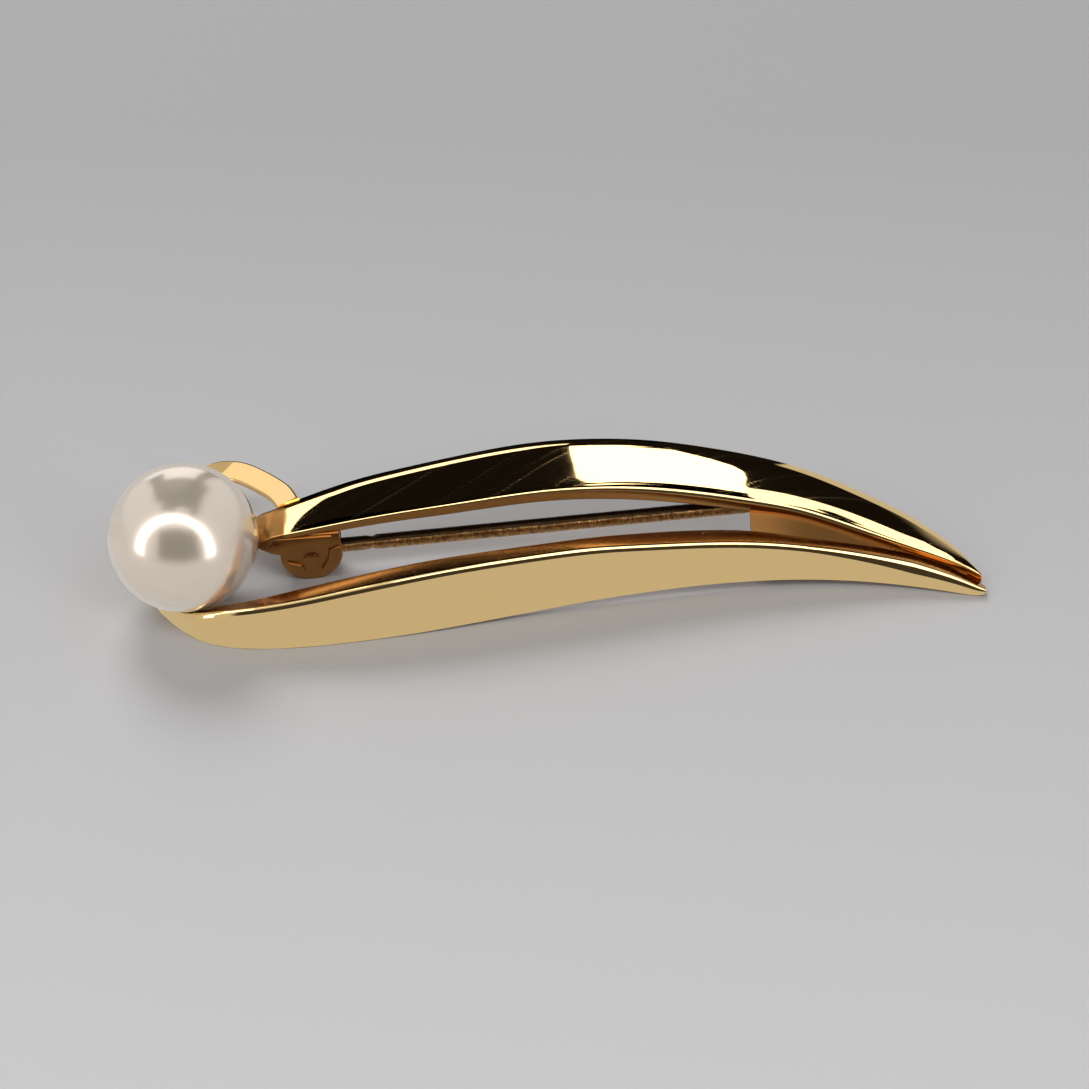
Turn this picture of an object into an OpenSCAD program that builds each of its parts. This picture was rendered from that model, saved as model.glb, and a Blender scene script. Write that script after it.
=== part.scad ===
// Pearl brooch: two gold ribbons that meet in a point, a pearl in the curl of the
// front ribbon, and a hinged pin behind the upper ribbon. It lies on its back.
// +X runs towards the point, +Y away from the tall front ribbon, +Z up.

/* [Pearl] */
// Diameter of the pearl
pearl_d = 7.75; // [7.5:0.05:7.8]
// Height of the pearl's centre above the surface
pearl_height = 4.5; // [4.4:0.05:4.6]
// Diameter of the hole drilled in the pearl
drill_d = 0.96; // [0.9:0.01:1]
// Depth of the drilled hole
drill_depth = 2.6; // [2.4:0.1:3]

/* [Ribbons] */
// Thickness of the front ribbon's wall and flange
wall_t = 0.5; // [0.4:0.05:0.6]
// Slope of the front ribbon's top flange, in degrees
flange_slope = 18; // [14:1:20]
// Radius of the front ribbon's polished top edge
front_edge_r = 0.4; // [0.3:0.01:0.45]
// Radius of the upper ribbon's near edge
near_edge_r = 0.2; // [0.15:0.01:0.25]
// Width of the bevel along the upper ribbon's far edge
bevel_w = 0.34; // [0.2:0.01:0.4]
// How far the upper ribbon's face bulges
crown = 0.1; // [0.05:0.01:0.2]
// Height of the upper ribbon's far edge
far_edge_h = 0.55; // [0.45:0.05:0.6]
// Thickness of the plate that closes the V
web_t = 0.45; // [0.4:0.05:0.5]
// Sections made between two rows of a ribbon's table
ribbon_steps = 3; // [2:1:4]

/* [Pearl cup] */
// Outer diameter of the cup
cup_d = 3.4; // [3.1:0.1:3.6]
// Height of the cup's rim
cup_h = 0.8; // [0.7:0.05:0.85]
// Diameter of the peg
peg_d = 0.8; // [0.7:0.01:0.84]
// Gap between the pearl and the gold round it
pearl_gap = 0.06; // [0.04:0.01:0.1]

/* [Hinge] */
// Radius of the ears' round ends
ear_r = 1.65; // [1.6:0.01:1.65]
// Thickness of each ear
ear_t = 0.5; // [0.4:0.05:0.6]
// Thickness of the pin's eye
eye_t = 0.8; // [0.7:0.05:0.8]
// Gap at each side of the eye
eye_gap = 0.06; // [0.04:0.01:0.1]
// Outer diameter of the pin's eye
eye_d = 2; // [1.8:0.1:2.2]
// Diameter of the rivet
rivet_d = 0.64; // [0.6:0.01:0.66]
// Diameter of the rivet's heads
rivet_head_d = 0.9; // [0.8:0.1:1.2]

/* [Pin] */
// Diameter of the pin's stem
stem_d = 0.8; // [0.7:0.02:0.8]
// Distance from the rivet to the pin's tip
stem_length = 26.4; // [26:0.1:26.8]
// Length of the pin's taper
taper_length = 3.2; // [2.5:0.1:4]
// Turn of the pin in plan, in degrees
pin_turn = 6.54; // [6.4:0.02:6.7]
// Rise of the pin towards its tip, in degrees
pin_rise = 1.73; // [1.6:0.01:1.9]

/* [Catch] */
// Distance from the rivet to the middle of the catch
catch_at = 24.6; // [24.4:0.1:24.8]
// Length of the catch along the pin
catch_length = 1.5; // [1.2:0.1:1.7]
// Outer radius of the catch
catch_r = 1; // [0.95:0.01:1.05]
// Radius of the room for the pin
catch_bore_r = 0.55; // [0.5:0.01:0.6]

/* [Hidden] */
$fn = 48;

// Middle of the whole object in plan, which the origin stands under
middle = [0.41, -0.34, 0];
// Middle of the pearl in plan
pearl_xy = [-18.67, -2.42];
pearl_at = [pearl_xy[0], pearl_xy[1], pearl_height];
// Middle of the rivet
pivot = [-12.42, 0.51, 1.35];
bore_clearance = 0.03;
far_bevel_drop = 0.4;
// Gap between a rivet head and its ear
head_gap = 0.02;

// Front ribbon from the point round to its end behind the pearl
// Columns: x and y of its outer bottom edge, height of that edge, wall height, flange width
front_rows = [
    [23.28, -1.92, 0.18, 0.24, 0.55],
    [22.75, -1.86, 0.00, 0.56, 0.95],
    [21.4, -1.64, 0.10, 0.92, 1.30],
    [18.8, -1.25, 0.23, 1.38, 1.50],
    [16.2, -1.10, 0.38, 1.78, 1.35],
    [13.5, -1.12, 0.48, 2.18, 1.40],
    [10.9, -1.32, 0.53, 2.52, 1.85],
    [8.2, -1.67, 0.54, 2.79, 1.90],
    [5.6, -2.12, 0.50, 3.06, 1.85],
    [2.9, -2.65, 0.42, 3.40, 1.65],
    [0.3, -3.25, 0.31, 3.60, 1.60],
    [-2.3, -3.87, 0.20, 3.73, 1.65],
    [-4.9, -4.50, 0.10, 3.79, 1.75],
    [-7.5, -5.08, 0.03, 3.67, 1.80],
    [-10.1, -5.57, 0.00, 3.40, 1.70],
    [-12.7, -5.95, 0.00, 3.00, 1.60],
    [-15.2, -6.06, 0.00, 2.58, 1.20],
    [-16.9, -5.78, 0.00, 2.18, 1.00],
    [-18.3, -5.15, 0.00, 1.55, 0.90],
    [-19.9, -3.55, 0.00, 0.90, 0.90],
    [-20.9, -1.80, 0.05, 0.80, 1.00],
    [-21.3, 0.40, 0.50, 0.80, 1.15],
    [-20.9, 2.50, 1.20, 0.75, 1.25],
    [-19.8, 4.40, 2.00, 0.65, 1.30],
    [-18.2, 5.50, 2.60, 0.55, 1.30],
    [-16.5, 5.50, 2.85, 0.50, 1.30],
    [-15.0, 4.42, 3.05, 0.50, 1.30],
    [-13.8, 3.18, 3.24, 0.50, 1.30],
    [-13.3, 2.32, 3.42, 0.50, 1.28],
    [-12.95, 1.49, 3.56, 0.50, 1.26]
];

// Upper ribbon from its end under the pearl to the point
// Columns: x, y and height of the near edge, y and height of the far edge, rim height
upper_rows = [
    [-19.6, -3.40, 0.50, -1.80, 0.50, 0.40],
    [-18.4, -3.20, 0.52, -1.50, 0.58, 0.40],
    [-17.2, -2.70, 0.75, -1.00, 0.95, 0.42],
    [-16.2, -2.05, 1.45, -0.40, 2.05, 0.44],
    [-15.4, -0.84, 2.50, 0.83, 3.16, 0.45],
    [-14.7, -0.91, 3.01, 0.86, 3.61, 0.45],
    [-13.9, -0.72, 3.17, 1.22, 3.83, 0.45],
    [-12.8, -0.53, 3.29, 1.66, 4.03, 0.45],
    [-10.2, 0.02, 3.53, 2.61, 4.40, 0.48],
    [-7.6, 0.53, 3.71, 3.32, 4.62, 0.54],
    [-5, 0.98, 3.85, 3.97, 4.83, 0.60],
    [-2.3, 1.47, 3.99, 4.60, 5.02, 0.62],
    [0.3, 1.89, 4.07, 5.03, 5.12, 0.66],
    [3, 2.13, 4.04, 5.23, 5.10, 0.70],
    [5.6, 2.19, 3.91, 5.26, 4.99, 0.72],
    [8.3, 2.10, 3.66, 5.07, 4.74, 0.70],
    [10.9, 1.94, 3.33, 4.82, 4.39, 0.66],
    [13.6, 1.71, 2.91, 4.43, 3.90, 0.62],
    [16.2, 1.07, 2.34, 3.63, 3.31, 0.60],
    [18.9, 0.36, 1.76, 2.58, 2.52, 0.58],
    [20.2, 0.06, 1.46, 1.84, 2.08, 0.56],
    [21.4, -0.24, 1.16, 1.05, 1.60, 0.50],
    [22.3, -0.56, 0.93, 0.20, 1.16, 0.60],
    [22.95, -0.91, 0.76, -0.65, 0.84, 0.56],
    [23.15, -1.01, 0.70, -0.92, 0.73, 0.52]
];

// Plate that closes the V
// Columns: x, y and height of its front edge, y and height of its back edge
web_rows = [
    [10.95, 0.10, 2.44, 2.45, 2.87],
    [13.5, -0.20, 2.25, 2.10, 2.60],
    [16.2, -0.40, 1.75, 1.55, 2.05],
    [18.8, -0.65, 1.25, 0.90, 1.49],
    [21.2, -1.20, 0.70, 0.00, 0.88],
    [22.4, -1.45, 0.52, -0.55, 0.64]
];

function clamp_row(rows, i) = rows[max(0, min(len(rows) - 1, i))];

function blend_rows(a, b, c, d, t) =
    (2 * b + (c - a) * t + (2 * a - 5 * b + 4 * c - d) * t * t
        + (3 * b - a - 3 * c + d) * t * t * t) / 2;

// A smooth run of rows through a table's rows
function smooth_rows(rows, steps) = [
    for (i = [0:len(rows) - 2])
        for (k = [0:steps - 1])
            blend_rows(clamp_row(rows, i - 1), rows[i], rows[i + 1], clamp_row(rows, i + 2), k / steps),
    rows[len(rows) - 1]
];

// Horizontal direction from a ribbon's outer edge towards its inner side
function inward(rows, i) =
    let (a = clamp_row(rows, i - 1), b = clamp_row(rows, i + 1))
    let (along = [b[0] - a[0], b[1] - a[1]])
    [along[1], -along[0]] / norm(along);

// Section of the front ribbon as pairs of inward distance and height
function front_section(row) =
    let (base = max(0, row[2]), top = row[2] + row[3], flange = row[4])
    let (t = min(wall_t, 0.6 * flange), ft = min(wall_t, 0.5 * row[3]))
    let (r = min(front_edge_r, 0.5 * row[3]), fall = tan(flange_slope), c = cos(45))
    [
        [0, base],
        [0, top - r],
        [r * (1 - c), top - r * (1 - c)],
        [r, top],
        [flange, top - (flange - r) * fall],
        [flange, top - (flange - r) * fall - ft],
        [t, top - max(0, t - r) * fall - ft],
        [t, base]
    ];

function front_ring(rows, i) =
    let (row = rows[i], side = inward(rows, i))
    [for (p = front_section(row)) [row[0] + side[0] * p[0], row[1] + side[1] * p[0], p[1]]];

// Height of a crown's arc at a part of its width
function arc_height(part, bulge) = 4 * bulge * part * (1 - part);

// Section of the upper ribbon at one x
function upper_ring(row) =
    let (x = row[0], ny = row[1], nz = row[2], fy = row[3], fz = row[4], rim = row[5])
    let (w = fy - ny, rise = fz - nz, c = cos(45), a = 0.35, b = 0.65)
    let (r = min(near_edge_r, 0.3 * w, 0.5 * rim), bevel = min(bevel_w, 0.3 * w), bulge = crown * min(1.2, pow(w / 3.5, 2)))
    [
        [x, ny, nz - rim],
        [x, ny, nz - r],
        [x, ny + r * (1 - c), nz - r * (1 - c)],
        [x, ny + r, nz + rise * r / w],
        [x, ny + a * w, nz + a * rise + arc_height(a, bulge)],
        [x, ny + b * w, nz + b * rise + arc_height(b, bulge)],
        [x, fy - bevel, fz - rise * bevel / w],
        [x, fy, fz - bevel * far_bevel_drop],
        [x, fy, fz - min(far_edge_h, rim)]
    ];

function web_ring(row) = [
    [row[0], row[1], row[2] - web_t],
    [row[0], row[1], row[2]],
    [row[0], row[3], row[4]],
    [row[0], row[3], row[4] - web_t]
];

// Closed skin over a run of rings; the caps fan out from point `hub` of a ring
module skin(rings, hub) {
    n = len(rings[0]);
    last = len(rings) - 1;
    sides = [
        for (i = [0:last - 1])
            for (k = [0:n - 1])
                let (a = i * n + k, b = i * n + (k + 1) % n)
                for (face = [[a, b, b + n], [a, b + n, a + n]]) face
    ];
    start_cap = [for (k = [1:n - 2]) [hub, (hub + k + 1) % n, (hub + k) % n]];
    end_cap = [for (k = [1:n - 2]) [hub, (hub + k) % n, (hub + k + 1) % n] + [1, 1, 1] * last * n];
    polyhedron(points = [for (ring = rings) for (p = ring) p], faces = concat(sides, start_cap, end_cap));
}

module front_ribbon() {
    rows = smooth_rows(front_rows, ribbon_steps);
    skin([for (i = [len(rows) - 1:-1:0]) front_ring(rows, i)], 6);
}

module upper_ribbon() {
    skin([for (row = smooth_rows(upper_rows, ribbon_steps)) upper_ring(row)], 0);
}

module web() {
    skin([for (row = smooth_rows(web_rows, 2)) web_ring(row)], 0);
}

// Turns and moves a shape so that the rivet lies along its Y
module at_pivot() {
    translate(pivot) rotate([0, 0, pin_turn]) children();
}

// The same, with the pin's stem along its X
module along_pin() {
    at_pivot() rotate([0, -pin_rise, 0]) children();
}

// A round bar along Y, centred on the rivet's axis
module cross_bar(d, length, at = 0) {
    translate([0, at, 0]) rotate([90, 0, 0]) cylinder(d = d, h = length, center = true);
}

// One ear, with its middle at `at` along the rivet and its wide top at `top`
module ear(at, top, left, right) {
    arc_z = ear_r - pivot[2];
    joined_z = arc_z + 0.3;
    joined_x = ear_r * 0.98;
    translate([0, at + ear_t / 2, 0]) rotate([90, 0, 0]) linear_extrude(height = ear_t) {
        translate([0, arc_z]) circle(r = ear_r);
        polygon([[-joined_x, joined_z], [joined_x, joined_z], [right, top], [-left, top]]);
    }
}

// Raised plates on the near ear, as outlines in x and z from the rivet
ear_plates = [
    [[1.1, 1.6], [-2.45, 1.6], [-2.7, 1.05], [-2.1, 0.68], [-1.6, 0.5], [-0.4, 0.55], [0.85, 0.62]],
    [[-1.3, -0.02], [-0.55, -0.3], [-0.35, -0.72], [-0.62, -1.0], [-1.0, -0.62]],
    [[0.95, 0.6], [1.5, 0.85], [1.6, 0.45], [1.52, -0.1], [1.12, -0.72], [0.49, -0.66], [0.86, -0.04]]
];

module hinge_block() {
    plate_t = 0.15;
    ear_mid = eye_t / 2 + eye_gap + ear_t / 2;
    bridge_z = eye_d / 2 + 0.3;
    bridge_t = 0.45;
    bridge_half = 1.3;
    // Columns: middle along the rivet, height of the wide top, its reach to the left and right
    ears = [
        [-ear_mid, 1.68, 2.5, 1.5],
        [ear_mid, 2.25, 0.1, 1.9]
    ];
    at_pivot() difference() {
        union() {
            for (row = ears) ear(row[0], row[1], row[2], row[3]);
            translate([-bridge_half, -ear_mid, bridge_z]) cube([2 * bridge_half, 2 * ear_mid, bridge_t]);
            for (outline = ear_plates) translate([0, -ear_mid, 0]) rotate([90, 0, 0])
                linear_extrude(height = ear_t / 2 + plate_t) polygon(outline);
        }
        cross_bar(rivet_d + bore_clearance, 4 * ear_mid);
    }
}

// Hook that the pin's tip lies in, open on the side that the pin swings out of
module catch() {
    foot_w = 1.2;
    foot_top = 1.4;
    along_pin() translate([catch_at, 0, 0]) difference() {
        union() {
            rotate([0, 90, 0]) cylinder(r = catch_r, h = catch_length, center = true);
            translate([-catch_length / 2, -foot_w / 2, 0]) cube([catch_length, foot_w, foot_top]);
        }
        rotate([0, 90, 0]) cylinder(r = catch_bore_r, h = 2 * catch_length, center = true);
        translate([-catch_length, -catch_bore_r, -2 * catch_r])
            cube([2 * catch_length, 2 * catch_bore_r, 2 * catch_r]);
    }
}

module cup() {
    base = 0.05;
    translate([pearl_at[0], pearl_at[1], base]) cylinder(d = cup_d, h = cup_h);
}

module peg() {
    base = 0.2;
    top = pearl_height - pearl_d / 2 + drill_depth - 0.3;
    translate([pearl_at[0], pearl_at[1], base]) cylinder(d = peg_d, h = top - base);
}

module brooch_frame() {
    color("gold") translate(-middle) {
        difference() {
            union() {
                front_ribbon();
                upper_ribbon();
                web();
                cup();
            }
            translate(pearl_at) sphere(d = pearl_d + 2 * pearl_gap, $fn = 96);
        }
        peg();
        hinge_block();
        catch();
    }
}

module pearl() {
    color("seashell") translate(pearl_at - middle) difference() {
        sphere(d = pearl_d, $fn = 96);
        translate([0, 0, -pearl_d / 2 - 1]) cylinder(d = drill_d, h = drill_depth + 1);
    }
}

module pin_stem() {
    root = eye_d / 2 - 0.3;
    taper_at = stem_length - taper_length;
    tip_r = 0.12;
    color("goldenrod") translate(-middle) along_pin() difference() {
        union() {
            cross_bar(eye_d, eye_t);
            translate([root, 0, 0]) rotate([0, 90, 0]) cylinder(d = stem_d, h = taper_at - root);
            translate([taper_at, 0, 0]) rotate([0, 90, 0])
                cylinder(r1 = stem_d / 2, r2 = tip_r, h = taper_length - tip_r);
            translate([stem_length - tip_r, 0, 0]) sphere(r = tip_r);
        }
        cross_bar(rivet_d + 2 * bore_clearance, 2 * eye_t);
    }
}

module hinge_rivet() {
    outer = eye_t / 2 + eye_gap + ear_t + head_gap;
    head_t = 0.12;
    color("darkgoldenrod") translate(-middle) at_pivot() {
        cross_bar(rivet_d, 2 * (outer + head_t / 2));
        cross_bar(rivet_head_d, head_t, outer + head_t / 2);
        cross_bar(rivet_head_d, head_t, -outer - head_t / 2);
    }
}

brooch_frame();
pearl();
pin_stem();
hinge_rivet();
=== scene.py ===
"""Looks of the pearl brooch: two polished gold ribbons, a pearl in their curl and a hinged pin."""

import math

import bmesh
import bpy
import numpy as np
from mathutils import Matrix, Vector


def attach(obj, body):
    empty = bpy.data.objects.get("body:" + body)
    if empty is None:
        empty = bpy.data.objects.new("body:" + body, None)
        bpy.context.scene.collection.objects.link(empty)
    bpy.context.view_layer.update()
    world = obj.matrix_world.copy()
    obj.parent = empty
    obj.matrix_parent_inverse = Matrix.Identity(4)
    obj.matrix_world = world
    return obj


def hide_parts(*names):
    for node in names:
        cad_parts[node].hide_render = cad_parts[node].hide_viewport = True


bl_info = {
    "name": "Pearl Brooch",
    "version": (1, 0, 0),
    "blender": (4, 5, 0),
    "location": "3D View > Sidebar > Brooch",
    "description": "Makes a gold ribbon brooch with a pearl and a hinged pin",
    "category": "Add Mesh",
}

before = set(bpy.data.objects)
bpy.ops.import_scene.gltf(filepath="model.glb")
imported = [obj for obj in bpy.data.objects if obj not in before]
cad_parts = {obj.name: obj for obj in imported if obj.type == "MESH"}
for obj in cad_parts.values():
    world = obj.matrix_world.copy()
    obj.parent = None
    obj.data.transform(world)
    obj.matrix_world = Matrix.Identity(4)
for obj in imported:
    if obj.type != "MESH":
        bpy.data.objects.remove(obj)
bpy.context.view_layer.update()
MM = 0.001

# The tables and places below are in mm, from a corner that lies MIDDLE away from the part's origin
MIDDLE = Vector((0.41, -0.34, 0.0))
PEARL_AT = Vector((-18.67, -2.42, 4.5))
PIVOT = Vector((-12.42, 0.51, 1.35))
PIN_TURN = math.radians(6.54)
PIN_RISE = math.radians(1.73)

# Stations for each step of a ribbon's table and of the plate's table
RIBBON_STEPS = 12
PLATE_STEPS = 10

# Edges sharper than this angle stay sharp. Points closer than this many metres become one, and on a
# ribbon those closer than the weld
SHARP = math.radians(35)
CLOSE = 1e-7
WELD = 0.002 * MM

# Widths of the bevels on the hinge and on its finer parts
BEVEL = 0.05 * MM
FINE_BEVEL = 0.04 * MM

# Turns of a shape from its own X axis to Y, and to straight up
TO_SIDE = Matrix.Rotation(math.pi / 2, 4, "Z")
TO_TOP = Matrix.Rotation(-math.pi / 2, 4, "Y")

# Body and material slot of each node of the CAD model
NODES = {
    "brooch_frame": ("brooch", "gold"),
    "pearl": ("brooch", "pearl"),
    "hinge_rivet": ("brooch", "pin_gold"),
    "pin_stem": ("pin", "pin_gold"),
}

# Front ribbon from the point round to its end behind the pearl
# Columns: x and y of its outer bottom edge, height of that edge, wall height, flange width
FRONT_ROWS = (
    (23.28, -1.92, 0.18, 0.24, 0.55),
    (22.75, -1.86, 0.00, 0.56, 0.95),
    (21.4, -1.64, 0.10, 0.92, 1.30),
    (18.8, -1.25, 0.23, 1.38, 1.50),
    (16.2, -1.10, 0.38, 1.78, 1.35),
    (13.5, -1.12, 0.48, 2.18, 1.40),
    (10.9, -1.32, 0.53, 2.52, 1.85),
    (8.2, -1.67, 0.54, 2.79, 1.90),
    (5.6, -2.12, 0.50, 3.06, 1.85),
    (2.9, -2.65, 0.42, 3.40, 1.65),
    (0.3, -3.25, 0.31, 3.60, 1.60),
    (-2.3, -3.87, 0.20, 3.73, 1.65),
    (-4.9, -4.50, 0.10, 3.79, 1.75),
    (-7.5, -5.08, 0.03, 3.67, 1.80),
    (-10.1, -5.57, 0.00, 3.40, 1.70),
    (-12.7, -5.95, 0.00, 3.00, 1.60),
    (-15.2, -6.06, 0.00, 2.58, 1.20),
    (-16.9, -5.78, 0.00, 2.18, 1.00),
    (-18.3, -5.15, 0.00, 1.55, 0.90),
    (-19.9, -3.55, 0.00, 0.90, 0.90),
    (-20.9, -1.80, 0.05, 0.80, 1.00),
    (-21.3, 0.40, 0.50, 0.80, 1.15),
    (-20.9, 2.50, 1.20, 0.75, 1.25),
    (-19.8, 4.40, 2.00, 0.65, 1.30),
    (-18.2, 5.50, 2.60, 0.55, 1.30),
    (-16.5, 5.50, 2.85, 0.50, 1.30),
    (-15.0, 4.42, 3.05, 0.50, 1.30),
    (-13.8, 3.18, 3.24, 0.50, 1.30),
    (-13.3, 2.32, 3.42, 0.50, 1.28),
    (-12.95, 1.49, 3.56, 0.50, 1.26),
)

# The row of that table, counted from 0, at which the loop behind the pearl begins
LOOP_ROW = 21

# Upper ribbon from its end under the pearl to the point
# Columns: x, y and height of the near edge, y and height of the far edge, rim height, near rounding,
# width and fall of the roll along the far edge, and how sharply that roll starts
UPPER_ROWS = (
    (-19.6, -3.40, 0.50, -1.80, 0.50, 0.40, 0.08, 0.30, 0.05, 0.45),
    (-18.4, -3.20, 0.52, -1.50, 0.58, 0.40, 0.08, 0.30, 0.05, 0.45),
    (-17.2, -2.70, 0.75, -1.00, 0.95, 0.42, 0.08, 0.40, 0.08, 0.45),
    (-16.2, -2.05, 1.45, -0.40, 2.05, 0.44, 0.10, 0.60, 0.12, 0.45),
    (-15.4, -0.84, 2.50, 0.83, 3.16, 0.45, 0.10, 0.70, 0.12, 0.45),
    (-14.7, -0.91, 3.01, 0.86, 3.61, 0.45, 0.10, 0.80, 0.16, 0.45),
    (-13.9, -0.72, 3.17, 1.22, 3.83, 0.45, 0.10, 0.95, 0.20, 0.45),
    (-12.8, -0.53, 3.29, 1.66, 4.03, 0.45, 0.10, 1.00, 0.20, 0.45),
    (-10.2, 0.02, 3.53, 2.61, 4.40, 0.48, 0.10, 0.85, 0.14, 0.45),
    (-7.6, 0.53, 3.71, 3.32, 4.62, 0.54, 0.10, 0.75, 0.10, 0.45),
    (-5, 0.98, 3.85, 3.97, 4.83, 0.60, 0.12, 0.68, 0.08, 0.45),
    (-2.3, 1.47, 3.99, 4.60, 5.02, 0.62, 0.14, 0.65, 0.08, 0.45),
    (0.3, 1.89, 4.07, 5.03, 5.12, 0.66, 0.16, 0.62, 0.08, 0.45),
    (3, 2.13, 4.04, 5.23, 5.10, 0.70, 0.20, 0.60, 0.08, 0.45),
    (5.6, 2.19, 3.91, 5.26, 4.99, 0.72, 0.24, 0.55, 0.09, 0.48),
    (8.3, 2.10, 3.66, 5.07, 4.74, 0.70, 0.25, 0.48, 0.11, 0.55),
    (10.9, 1.94, 3.33, 4.82, 4.39, 0.66, 0.25, 0.45, 0.13, 0.70),
    (13.6, 1.71, 2.91, 4.43, 3.90, 0.62, 0.24, 0.52, 0.18, 0.85),
    (16.2, 1.07, 2.34, 3.63, 3.31, 0.60, 0.20, 0.60, 0.23, 0.92),
    (18.9, 0.36, 1.76, 2.58, 2.52, 0.58, 0.16, 0.60, 0.23, 0.92),
    (20.2, 0.06, 1.46, 1.84, 2.08, 0.56, 0.14, 0.55, 0.21, 0.92),
    (21.4, -0.24, 1.16, 1.05, 1.60, 0.50, 0.12, 0.42, 0.16, 0.92),
    (22.3, -0.56, 0.93, 0.20, 1.16, 0.60, 0.10, 0.26, 0.10, 0.92),
    (22.95, -0.91, 0.76, -0.65, 0.84, 0.56, 0.05, 0.08, 0.05, 0.92),
    (23.15, -1.01, 0.70, -0.92, 0.73, 0.52, 0.03, 0.04, 0.02, 0.92),
)

# Plate that closes the V
# Columns: x, y and height of its front edge, y and height of its back edge
WEB_ROWS = (
    (10.95, 0.10, 2.44, 2.45, 2.87),
    (13.5, -0.20, 2.25, 2.10, 2.60),
    (16.2, -0.40, 1.75, 1.55, 2.05),
    (18.8, -0.65, 1.25, 0.90, 1.49),
    (21.2, -1.20, 0.70, 0.00, 0.88),
    (22.4, -1.45, 0.52, -0.55, 0.64),
)


class Value:
    """A socket of a node tree that takes part in Python sums."""

    def __init__(self, tree, socket=None):
        self.tree = tree
        self.socket = socket

    def node(self, kind, settings=None, inputs=None, output=0):
        """Adds a node: its settings first, then the values or links of its sockets."""
        made = self.tree.nodes.new(kind)
        for key, setting in (settings or {}).items():
            setattr(made, key, setting)
        for key, value in (inputs or {}).items():
            if isinstance(value, Value):
                self.tree.links.new(value.socket, made.inputs[key])
            else:
                made.inputs[key].default_value = value
        return Value(self.tree, made.outputs[output])

    def maths(self, operation, *others):
        """A Math node that starts with this value."""
        return self.node("ShaderNodeMath", {"operation": operation}, dict(enumerate((self, *others))))

    def vector(self, operation, *others, output=0):
        """A Vector Math node that starts with this vector."""
        inputs = dict(enumerate((self, *others)))
        return self.node("ShaderNodeVectorMath", {"operation": operation}, inputs, output)

    def scaled(self, factor):
        """This vector times a number."""
        return self.node("ShaderNodeVectorMath", {"operation": "SCALE"}, {0: self, "Scale": factor})

    def noise(self, scale, detail, roughness=0.5):
        """Noise at this place, which is finer the larger its scale is."""
        inputs = {"Vector": self, "Scale": scale, "Detail": detail, "Roughness": roughness}
        return self.node("ShaderNodeTexNoise", None, inputs)

    def ramp(self, start, full, kind="LINEAR"):
        """A mask that grows from 0 to 1 while this value goes from start to full."""
        inputs = {"Value": self, "From Min": start, "From Max": full}
        return self.node("ShaderNodeMapRange", {"interpolation_type": kind}, inputs)

    def mixed(self, bare, covered):
        """Two colours with this value as the mask of the second."""
        return self.node("ShaderNodeMix", {"data_type": "RGBA"}, {"Factor": self, 6: bare, 7: covered}, 2)

    def __add__(self, other):
        return self.maths("ADD", other)

    def __sub__(self, other):
        return self.maths("SUBTRACT", other)

    def __rsub__(self, other):
        return self.node("ShaderNodeMath", {"operation": "SUBTRACT"}, {0: other, 1: self})

    def __mul__(self, other):
        return self.maths("MULTIPLY", other)

    def __truediv__(self, other):
        return self.maths("DIVIDE", other)

    __radd__ = __add__
    __rmul__ = __mul__


def length_setting(name, description, default):
    """A length that a user can change, with its default in mm."""
    return bpy.props.FloatProperty(name=name, description=description, default=default * MM, unit="LENGTH")


def angle_setting(name, description, default):
    """An angle that a user can change, with its default in degrees."""
    default = math.radians(default)
    return bpy.props.FloatProperty(name=name, description=description, default=default, subtype="ANGLE")


def number_setting(name, description, default, subtype="NONE"):
    """A plain number that a user can change."""
    return bpy.props.FloatProperty(name=name, description=description, default=default, subtype=subtype)


def colour_setting(name, description, default):
    """A colour that a user can change."""
    return bpy.props.FloatVectorProperty(
        name=name, description=description, default=default, subtype="COLOR", size=3,
    )


class RibbonSizes(bpy.types.PropertyGroup):
    """Sizes of the two ribbons and the plate between them."""

    wall: length_setting("Wall", "Thickness of the front ribbon", 0.5)
    slope: angle_setting("Flange slope", "Fall of the front ribbon's flange", 18)
    front_round: length_setting("Front rounding", "Size of the front ribbon's top edge", 0.34)
    crown: length_setting("Crown", "Bulge of the upper ribbon's face", 0.10)
    far_height: length_setting("Far edge", "Height of the upper ribbon's far edge", 0.55)
    web: length_setting("Plate", "Thickness of the plate that closes the V", 0.45)
    fillet: length_setting("Fillet", "Rounding of the small edges", 0.06)


class PearlSizes(bpy.types.PropertyGroup):
    """Sizes of the pearl and its seat."""

    across: length_setting("Pearl", "Diameter of the pearl", 7.75)
    drill: length_setting("Drill", "Diameter of the drilled hole", 0.96)
    depth: length_setting("Drill depth", "Depth of the drilled hole", 2.6)
    gap: length_setting("Gap", "Gap between the pearl and the gold", 0.06)
    cup: length_setting("Cup", "Diameter of the cup", 3.4)
    cup_height: length_setting("Cup height", "Height of the cup's rim", 0.85)
    peg: length_setting("Peg", "Diameter of the peg", 0.8)


class PinSizes(bpy.types.PropertyGroup):
    """Sizes of the pin, its hinge and its catch."""

    wire: length_setting("Wire", "Diameter of the pin's wire", 0.8)
    length: length_setting("Length", "From the rivet to the tip", 26.4)
    taper: length_setting("Taper", "Length of the tapered end", 3.2)
    eye: length_setting("Eye", "Outer diameter of the pin's eye", 2.0)
    eye_width: length_setting("Eye width", "Thickness of the eye", 0.8)
    rivet: length_setting("Rivet", "Diameter of the rivet", 0.64)
    head: length_setting("Rivet head", "Diameter of the rivet's heads", 0.9)
    ear: length_setting("Ear radius", "Radius of the ears' round ends", 1.65)
    ear_width: length_setting("Ear width", "Thickness of each ear", 0.5)
    catch_at: length_setting("Catch place", "From the rivet to the catch", 24.6)
    catch_radius: length_setting("Catch radius", "Outer radius of the catch", 1.0)
    catch_room: length_setting("Catch room", "Radius of the room for the pin", 0.55)


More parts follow.
